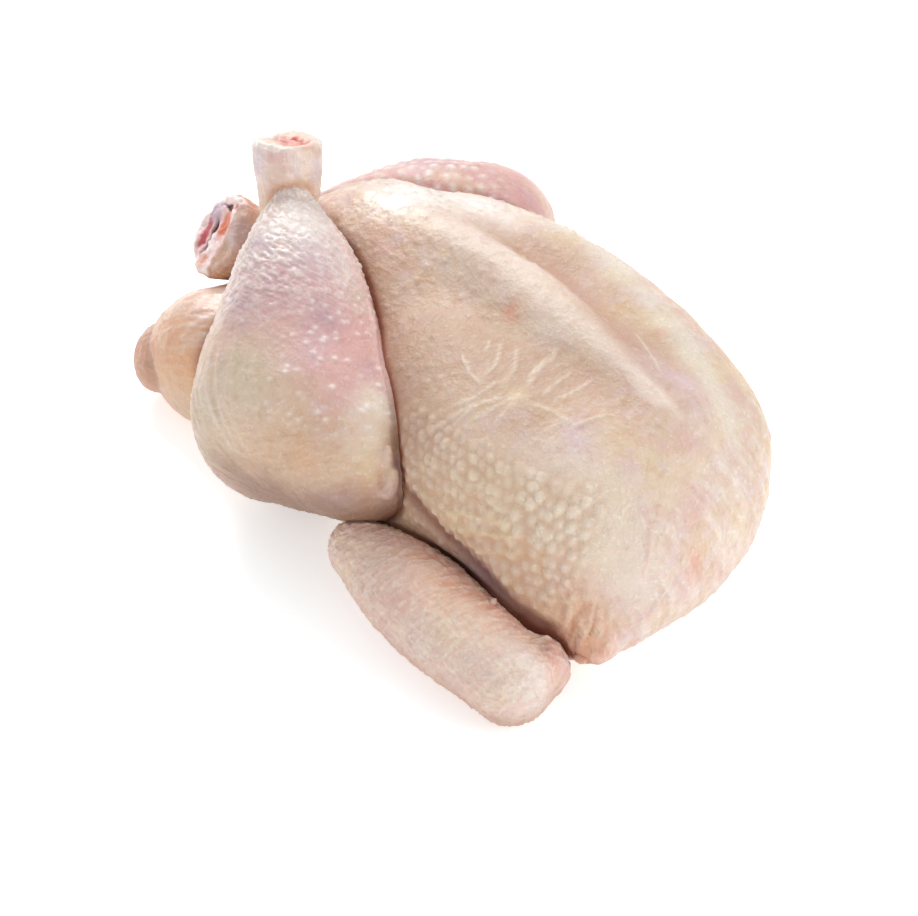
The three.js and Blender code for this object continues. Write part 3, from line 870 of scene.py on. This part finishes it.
FAR_HOCK_BLOTCHES = (
    (MAUVE, (-120, -3, 69), 7, 0.8), (LILAC, (-122, -7, 65), 5, 0.5),
    (BROWN, (-122, -10, 60), 8, 0.5), (AMBER, (-127, -14, 52), (10, 8, 5), 0.8),
    (CORAL, (-124, 8, 72), (5, 7, 5), 0.8), (PALE, (-138, 11, 54), (13, 14, 20), 0.95),
)


def cut_places(p, waist, cut, broad):
    """Places across and down a knuckle's cut face, from its middle, and the height over the face."""
    axis, across = cut_axes(waist, cut, broad)
    q = p - cut
    return q @ across, q @ np.cross(axis, across), q @ axis


SPOT_EDGES = (0.1, 0.6)  # where a spot of the cut face begins and is full
BONE_RIM, BONE_RIM_BREADTH = 0.9, 0.09  # the pale rim of a cut face, in shares of its girth


def cut_relief(s, size, cut_spots, across, down, face):
    """The spots of meat, fat and bone on a knuckle's cut face, some with painted highlight, and its pale
    rim.
    """
    drift = [0.9 * noise(s.p, 2.6, s.shift + 61 + k) for k in range(2)]
    warped = np.stack([across, down], 1) + np.stack(drift, 1)
    for tint, place, radii, strength, depth in cut_spots:
        spot = ramp(patch(warped, place, radii), *SPOT_EDGES)
        s.mark(spot * face, depth, tint, strength)
    rho = np.hypot(across / size["spread"], down) / size["girth"]
    s.mark(beside(rho - BONE_RIM, BONE_RIM_BREADTH) * face, 0.5, WHITE, 0.7)


def hock_finish(size, cut_spots, blotches, skin_tint, edge, shift):
    """A bare knuckle with its cut face. The skin closes over the face beyond the edge given."""

    def finish(p, n):
        places = limb_places(p, size["waist"], size["cut"], size["girth"])
        s = Surface(p, n, places, skin_tint, shift)
        s.lay_blotches(blotches, ragged=1.5)
        across, down, over = cut_places(p, size["waist"], size["cut"], size["broad"])
        face = ramp(over, -2.6, -1) * ramp(down, edge - 0.8, edge + 0.8)
        skin = 1 - face
        s.mark(s.ridges((9, 1.3), shift=40) * skin, 0.3, PALE, 0.25)
        s.mark(s.ridges((1.6, 5), shift=42) * skin, 0.3)
        s.mark(cloudy(p, 2.4, shift + 60) * face, 1)
        s.mark(cloudy(p, 6, shift + 59) * ramp(over, -4, 0), 1.6)
        cut_relief(s, size, cut_spots, across, down, face)
        lip = beside(down - edge, 0.9) * ramp(over, -3.4, -1.5)
        s.mark(lip, 0.4, SOFT_PINK, 0.7)
        s.wet = 0.2 + 0.2 * face
        return s

    return finish


# ---- The wings, the tail end and the loose skin ----

# Tones of the near wing; the two WHITE blotches at its tip are a painted highlight, and the two FOLD_RED
# blotches at its front end are painted shade in its folds.
NEAR_WING_BLOTCHES = (
    (AMBER, (30, -96, 34), (30, 12, 14), 0.4), (ROSE, (14, -98, 28), (14, 12, 12), 0.5),
    (CORAL, (18, -82, 34), (28, 6, 9), 0.8), (CORAL, (48, -87, 34), (26, 6, 8), 0.9),
    (CREAM, (40, -104, 32), (24, 8, 8), 0.4), (CORAL, (70, -88, 26), (8, 7, 7), 0.9),
    (FOLD_RED, (68.5, -90, 29), (4.5, 3.5, 4), 0.9), (SOFT_PINK, (2, -92, 32), (16, 14, 16), 0.6),
    (WHITE, (68, -102, 28), (11, 9, 11), 0.7), (WHITE, (76, -108, 18), (9, 9, 12), 0.7),
    (ROSE, (75, -88, 22), (8, 9, 10), 0.6), (FOLD_RED, (71, -85, 22), (5, 3, 6), 0.6),
    (PALE, (34, -112, 22), (44, 8, 10), 0.5),
)
# The upper arm lies in the hollow under the breast: its dark brown and lilac-grey blotches are painted
# shade on its skin.
ARM_BLOTCHES = (
    (HOLLOW_SHADE_BROWN, (-2, -66, 18), (16, 14, 16), 0.9), (HOLLOW_SHADE_LILAC, (24, -72, 20), (22, 14, 18), 0.95),
    (AMBER, (50, -76, 20), (12, 12, 16), 0.8),
)
RUMP_BLOTCHES = (
    (AMBER, (-118, -40, 36), (26, 24, 26), 0.9), (CORAL, (-144, -38, 20), (14, 14, 18), 0.8),
    (ROSE, (-138, -48, 10), (8, 8, 7), 0.6), (SOFT_PINK, (-120, -28, 50), (18, 14, 10), 0.5),
    (OLIVE, (-118, -52, 12), (20, 12, 16), 0.6),
)


def wing_finish(size, blotches, colour, shift):
    """Crinkled skin round a wing's bone, with painted shade towards the floor."""

    def finish(p, n):
        s = Surface(p, n, limb_places(p, size["start"], size["end"], girth=18), colour, shift)
        s.lay_blotches(blotches)
        s.mark(s.ridges((1.7, 7), shift=40, skew=0.35), 0.35, CREAM, 0.6)
        s.mark(s.ridges((5, 2.4), shift=44, skew=-0.5), 0.4, PALE, 0.3)
        s.tint(BROWN, 0.75 * ramp(p[:, 2] + 2 * cloudy(p, 6, shift + 47), 24, 6))
        s.mark(s.ridges((3.4, 13), shift=42, skew=0.2), 0.4, ROSE, 0.3)
        top = ramp(n[:, 2], -0.2, 0.4)
        s.mark(s.dots(pitch=5, breadth=0.8, where=top), 0.35, CREAM, 0.3)
        s.wet += 0.12
        return s

    return finish


def rump_finish(p, n):
    places = limb_places(p, RUMP["centre"], TAIL["centre"], girth=26)
    s = Surface(p, n, places, AMBER, shift=250)
    s.lay_blotches(RUMP_BLOTCHES)
    x, y, _ = p.T
    upward = n[:, 2]
    s.tint(SOFT_PINK, 0.85 * ramp(y + 4 * cloudy(p, 12, shift=260), -18, 2))
    # Pale ridges on the upward faces and white ridges on the top are painted highlight streaks.
    long = s.ridges((16, 4), shift=40, skew=0.3) * ramp(upward, 0.1, 0.6)
    s.mark(long, 0.45, PALE, 0.5)
    top = ramp(upward, 0.5, 0.8) * ramp(x, -128, -112)
    s.mark(s.ridges((14, 1.8), shift=44, skew=-0.3) * top, 0.4, WHITE, 0.8)
    towards_tail = s.ridges((3, 14), shift=42) * ramp(s.u, 8, 22)
    s.mark(towards_tail, 0.35, SOFT_PINK, 0.3)
    # A sunk ring where the tail meets the rump, darkened with painted shade.
    tail_ring = beside(lobe(p, **TAIL) - 0.6, 1) * ramp(x, -128, -132)
    s.mark(tail_ring, -0.9, BROWN, 0.7)
    s.wet = 0.7 * ramp(upward, 0.3, 0.8) + 0.12
    return s


WING_FLECK = dict(centre=(46, -87, 33.6), radii=(1.2, 1.8, 1.5))
SHOULDER_FLECK = dict(centre=(79, -82, 20), radii=(2.8, 1.7, 1.7))
FLECK_REACH = (8, 8, 8)
FLECK_TINT = paint(216, 180, 160)


def loose_skin(p):
    return join(lobe(p, **WING_FLECK), lobe(p, **SHOULDER_FLECK), FLECK_BLEND)


def loose_finish(p, n):
    """Flecks of loose skin at the wing's edge and the shoulder."""
    x, _, z = p.T
    s = Surface(p, n, (x, z), FLECK_TINT, shift=300)
    s.height *= 0.4
    s.tint(ROSE, 0.8 * patch(p, (46, -87, 34), FLECK_REACH))
    s.tint(CORAL, 0.7 * patch(p, (79, -82, 20), FLECK_REACH))
    s.mark(s.ridges((1.6, 5), shift=40), 0.3, CREAM, 0.4)
    s.wet += 0.4
    return s


# ---- Pieces ----

FLOOR_EDGE = 5  # how softly flesh turns in where it meets the floor
FLOOR_CALM = (-0.5, 4)  # how far above a skin's lowest level its relief begins and is full
CREASE_CALM = 0.6  # how much of a skin's other relief is lost where it meets its neighbours
HELD_UP = -10  # the lowest level of pieces that don't touch the floor
WING_TINT = paint(240, 203, 181)
FAR_WING_TINT = paint(226, 198, 178)
NEAR_HOCK_TINT = paint(252, 232, 222)
# The far knuckle's skin, darkened with painted shade; a PALE blotch gives its hidden side pale skin.
SHADED_FAR_HOCK_TINT = paint(188, 148, 116)
NEAR_CUT_EDGE = -20
FAR_CUT_EDGE = -5.5

# Each skin: its field, the box and the cell size it is sampled in, its lowest level, its finish, and
# the width, depth, tint of painted shade and its strength in the crease where it meets its neighbours.
FLESH = dict(
    breast_skin=dict(
        field=breast, low=(-118, -90, 0), high=(118, 70, 108), cell=1.06, lift=0,
        finish=breast_finish, crease=(1.9, 1.3, CREASE_SHADE, 0.75),
    ),
    near_leg_skin=dict(
        field=leg, low=(-130, -96, 0), high=(6, 16, 114), cell=0.7, lift=0.3,
        finish=near_leg_finish, crease=(0.8, 0.6, BROWN, 0.15),
    ),
    far_leg_skin=dict(
        field=far_leg, low=(-140, -18, 0), high=(-16, 96, 88), cell=0.9, lift=0.3,
        finish=far_leg_finish, crease=(1.8, 0.8, CREASE_SHADE, 0.4),
    ),
    near_wing_skin=dict(
        field=near_wing, low=(-30, -124, 0), high=(86, -50, 42), cell=0.6, lift=0.2,
        finish=wing_finish(NEAR_FOREARM, NEAR_WING_BLOTCHES, WING_TINT, shift=350),
        crease=(0.8, 0.5, BROWN, 0.1),
    ),
    near_arm_skin=dict(
        field=near_arm, low=(-30, -104, 0), high=(76, -46, 38), cell=1, lift=0.4,
        finish=wing_finish(NEAR_UPPER_ARM, ARM_BLOTCHES, MAUVE, shift=400),
        crease=(1.2, 0.6, HOLLOW_SHADE_GREY, 0.3),
    ),
    far_wing_skin=dict(
        field=far_wing, low=(-36, 20, 0), high=(68, 84, 38), cell=0.8, lift=0.2,
        finish=wing_finish(FAR_FOREARM, (), FAR_WING_TINT, shift=450),
        crease=(1.8, 0.8, CREASE_SHADE, 0.5),
    ),
    rump_skin=dict(
        field=rump, low=(-158, -62, 0), high=(-56, 46, 66), cell=0.8, lift=0.5,
        finish=rump_finish, crease=(2, 1, CREASE_SHADE, 0.5),
    ),
    near_hock_skin=dict(
        field=lambda p: hock(p, **NEAR_HOCK),
        low=(-122, -30, 66), high=(-76, 30, 126), cell=0.45, lift=HELD_UP,
        finish=hock_finish(
            NEAR_HOCK, NEAR_CUT, NEAR_HOCK_BLOTCHES, NEAR_HOCK_TINT, NEAR_CUT_EDGE, shift=500
        ),
        crease=(1.8, 0.8, AMBER, 0.6),
    ),
    far_hock_skin=dict(
        field=lambda p: hock(p, **FAR_HOCK),
        low=(-158, -30, 26), high=(-96, 34, 90), cell=0.45, lift=HELD_UP,
        finish=hock_finish(
            FAR_HOCK, FAR_CUT, FAR_HOCK_BLOTCHES, SHADED_FAR_HOCK_TINT, FAR_CUT_EDGE, shift=550
        ),
        crease=(1.6, 0.5, BROWN, 0.5),
    ),
    loose_skin=dict(
        field=loose_skin, low=(38, -96, 8), high=(88, -70, 42), cell=0.4, lift=HELD_UP,
        finish=loose_finish, crease=(1.2, 0.3, BROWN, 0.5),
    ),
)


def rested(field, lift):
    """A field cut off level just above the floor, with a soft lower edge."""
    return lambda p: -join(-field(p), p[:, 2] - lift, FLOOR_EDGE)


def crease(p, name, surface):
    """Sinks a skin and paints shade on it where it meets its neighbours, and calms its other relief
    there.
    """
    width, depth, tint, strength = FLESH[name]["crease"]
    others = [part["field"](p) for other, part in FLESH.items() if other not in (name, "loose_skin")]
    near = beside(np.maximum(np.min(others, axis=0), 0), width)
    surface.height = surface.height * (1 - CREASE_CALM * near) - depth * near
    surface.tint(tint, strength * near)
    surface.wet = surface.wet * (1 - near)


def make_piece(name, points, faces, surface):
    """A smooth mesh in the frame's metres that holds its colour and wetness at each point."""
    mesh = bpy.data.meshes.new(name)
    mesh.from_pydata(points.tolist(), [], faces.tolist())
    mesh.shade_smooth()
    rgba = np.concatenate([surface.colour, np.ones((len(points), 1))], 1).astype(np.float32)
    mesh.attributes.new("flesh", "FLOAT_COLOR", "POINT").data.foreach_set("color", rgba.ravel())
    wet = np.clip(surface.wet, 0, 1).astype(np.float32)
    mesh.attributes.new("wet", "FLOAT", "POINT").data.foreach_set("value", wet)
    piece = bpy.data.objects.new(name, mesh)
    bpy.context.collection.objects.link(piece)
    return piece


def raised(points, normals, height, lift):
    """The points moved out along their normals, and kept level where the skin rests on the floor."""
    if lift >= 0:
        start, full = FLOOR_CALM
        height = height * ramp(points[:, 2], lift + start, lift + full)
    moved = points + normals * height[:, None]
    moved[:, 2] = np.maximum(moved[:, 2], max(lift, 0))
    return moved


def skins():
    """Each skin's points before and after its relief, its faces and its surface, in the bird's frame."""
    made = {}
    for name, part in FLESH.items():
        field = rested(part["field"], part["lift"])
        points, normals, faces = skin_of(field, part["low"], part["high"], part["cell"])
        surface = part["finish"](points, normals)
        crease(points, name, surface)
        made[name] = (points, raised(points, normals, surface.height, part["lift"]), faces, surface)
    return made


# ---- Materials ----


class Graph:
    """Builds a material's nodes. Each method hands back the socket that holds its result."""

    def __init__(self, name):
        self.material = bpy.data.materials.new(name)
        self.material.use_nodes = True
        self.tree = self.material.node_tree
        self.shader = self.tree.nodes["Principled BSDF"]
        self.place = self.add("ShaderNodeTexCoord").outputs["Object"]

    def add(self, kind, **settings):
        node = self.tree.nodes.new(kind)
        for key, value in settings.items():
            setattr(node, key, value)
        return node

    def put(self, socket, value):
        if isinstance(value, bpy.types.NodeSocket):
            self.tree.links.new(value, socket)
        else:
            socket.default_value = value

    def shade(self, **settings):
        """Sets sockets of the shader by their names, with _ for each space."""
        for name, value in settings.items():
            self.put(self.shader.inputs[name.replace("_", " ")], value)

    def mixed(self, blend, one, other, share):
        """Two colours mixed the way that the blend names."""
        node = self.add("ShaderNodeMix", data_type="RGBA", blend_type=blend)
        factor, first, second = (s for s in node.inputs if s.enabled)
        for socket, value in ((factor, share), (first, one), (second, other)):
            self.put(socket, value)
        return next(s for s in node.outputs if s.enabled)

    def spread(self, value, low, high, from_low=0, from_high=1):
        """A value spread smoothly from low to high while it goes from from_low to from_high."""
        node = self.add("ShaderNodeMapRange", clamp=True, interpolation_type="SMOOTHSTEP")
        for socket, setting in zip(node.inputs, (value, from_low, from_high, low, high)):
            self.put(socket, setting)
        return node.outputs[0]

    def clouds(self, size, detail=3, roughness=0.55):
        """Noise about as coarse as the size given, in millimetres."""
        node = self.add("ShaderNodeTexNoise")
        self.put(node.inputs["Vector"], self.place)
        self.put(node.inputs["Scale"], 1 / (size * MM))
        self.put(node.inputs["Detail"], detail)
        self.put(node.inputs["Roughness"], roughness)
        return node.outputs["Fac"]

    def bump(self, height, depth, under=None):
        """Fine relief of the depth given, in millimetres, on top of other relief."""
        node = self.add("ShaderNodeBump")
        self.put(node.inputs["Height"], height)
        self.put(node.inputs["Distance"], depth * MM)
        if under:
            self.put(node.inputs["Normal"], under)
        return node.outputs["Normal"]


MOTTLE_SHADE = (0.86, 0.76, 0.70, 1)
GRAIN_LIGHT = (1.1, 1.19, 1.26, 1)


def skin_material():
    """Thin wet skin. Its colour and wetness come with each point, fine mottles and grain are added."""
    g = Graph("raw_skin")
    flesh = g.add("ShaderNodeAttribute", attribute_name="flesh").outputs["Color"]
    wet = g.add("ShaderNodeAttribute", attribute_name="wet").outputs["Fac"]
    grain = g.clouds(size=1.5)
    mottle = g.clouds(size=4.5, detail=4, roughness=0.6)
    dark = g.spread(mottle, low=0, high=0.55, from_low=0.52, from_high=0.72)
    colour = g.mixed("MULTIPLY", flesh, MOTTLE_SHADE, dark)
    light = g.spread(grain, low=0, high=1, from_low=0.54, from_high=0.74)
    g.shade(
        Base_Color=g.mixed("MULTIPLY", colour, GRAIN_LIGHT, light),
        Roughness=g.spread(wet, low=0.5, high=0.36),
        Specular_IOR_Level=g.spread(wet, low=0, high=0.5, from_low=0, from_high=0.1),
        Subsurface_Weight=0.2,
        Subsurface_Radius=(1, 0.45, 0.3),
        Subsurface_Scale=0.0012,
        Coat_Weight=g.spread(wet, low=0, high=0.9),
        Coat_Roughness=0.34,
        Normal=g.bump(mottle, depth=0.45, under=g.bump(grain, depth=0.5)),
    )
    return g.material


# ---- The stage ----

# The camera as in the photo: degrees, and millimetres in the bird's frame.
LOOK_FROM = dict(azimuth=33, elevation=44, distance=1000, target=(0, -38, 40), lens=107.6, sensor=36)
# The lights and the floor, in metres and watts.
LIT_PLACE = (0, 0, 0.04)
SOFTBOXES = (
    dict(name="back_softbox", place=(-0.85, 0.65, 0.92), breadth=0.5, watts=9.8),
    dict(name="right_softbox", place=(1.2, 0.1, 0.75), breadth=0.8, watts=5.5),
)
ROOM_WHITE = (1, 1, 1, 1)
ROOM_LIGHT = 0.68
FLOOR_HALF = 6
PAPER = (0.86, 0.92, 0.95, 1)


def aim(thing, place, target):
    thing.location = place
    thing.rotation_euler = (Vector(target) - Vector(place)).to_track_quat("-Z", "Y").to_euler()
    bpy.context.collection.objects.link(thing)


def add_camera(shift):
    camera = bpy.data.objects.new("camera", bpy.data.cameras.new("camera"))
    camera.data.lens = LOOK_FROM["lens"]
    camera.data.sensor_width = LOOK_FROM["sensor"]
    turn, rise = math.radians(LOOK_FROM["azimuth"]), math.radians(LOOK_FROM["elevation"])
    away = np.array([math.sin(turn) * math.cos(rise), -math.cos(turn) * math.cos(rise), math.sin(rise)])
    target = (np.array(LOOK_FROM["target"]) + shift) * MM
    aim(camera, target + away * LOOK_FROM["distance"] * MM, target)
    bpy.context.scene.camera = camera


def add_softbox(name, place, breadth, watts):
    light = bpy.data.objects.new(name, bpy.data.lights.new(name, "AREA"))
    light.data.size = breadth
    light.data.energy = watts
    aim(light, place, LIT_PLACE)


def add_floor():
    """White paper that glows a little, as the photo's background does."""
    mesh = bpy.data.meshes.new("floor")
    corners = [(x * FLOOR_HALF, y * FLOOR_HALF, 0) for x, y in ((-1, -1), (1, -1), (1, 1), (-1, 1))]
    mesh.from_pydata(corners, [], [(0, 1, 2, 3)])
    floor = bpy.data.objects.new("floor", mesh)
    bpy.context.collection.objects.link(floor)
    paper = Graph("white_paper")
    paper.shade(Base_Color=PAPER, Roughness=0.9, Emission_Color=ROOM_WHITE, Emission_Strength=0.44)
    mesh.materials.append(paper.material)


def add_studio():
    world = bpy.data.worlds.new("studio")
    world.use_nodes = True
    background = world.node_tree.nodes["Background"]
    background.inputs["Color"].default_value = ROOM_WHITE
    background.inputs["Strength"].default_value = ROOM_LIGHT
    bpy.context.scene.world = world
    bpy.context.scene.view_settings.view_transform = "Standard"
    for softbox in SOFTBOXES:
        add_softbox(**softbox)


def main():
    made = skins()
    rough = np.concatenate([points for points, _, _, _ in made.values()])
    shift = (np.array(cad_box[0]) + np.array(cad_box[1])) / 2 / MM - (rough.min(0) + rough.max(0)) / 2
    shift[2] = 0
    skin = skin_material()
    for name, (_, moved, faces, surface) in made.items():
        piece = make_piece(name, (moved + shift) * MM, faces, surface)
        piece.data.materials.append(skin)
        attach(piece, "root")
        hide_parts("chicken")
    add_floor()
    add_studio()
    add_camera(shift)


main()
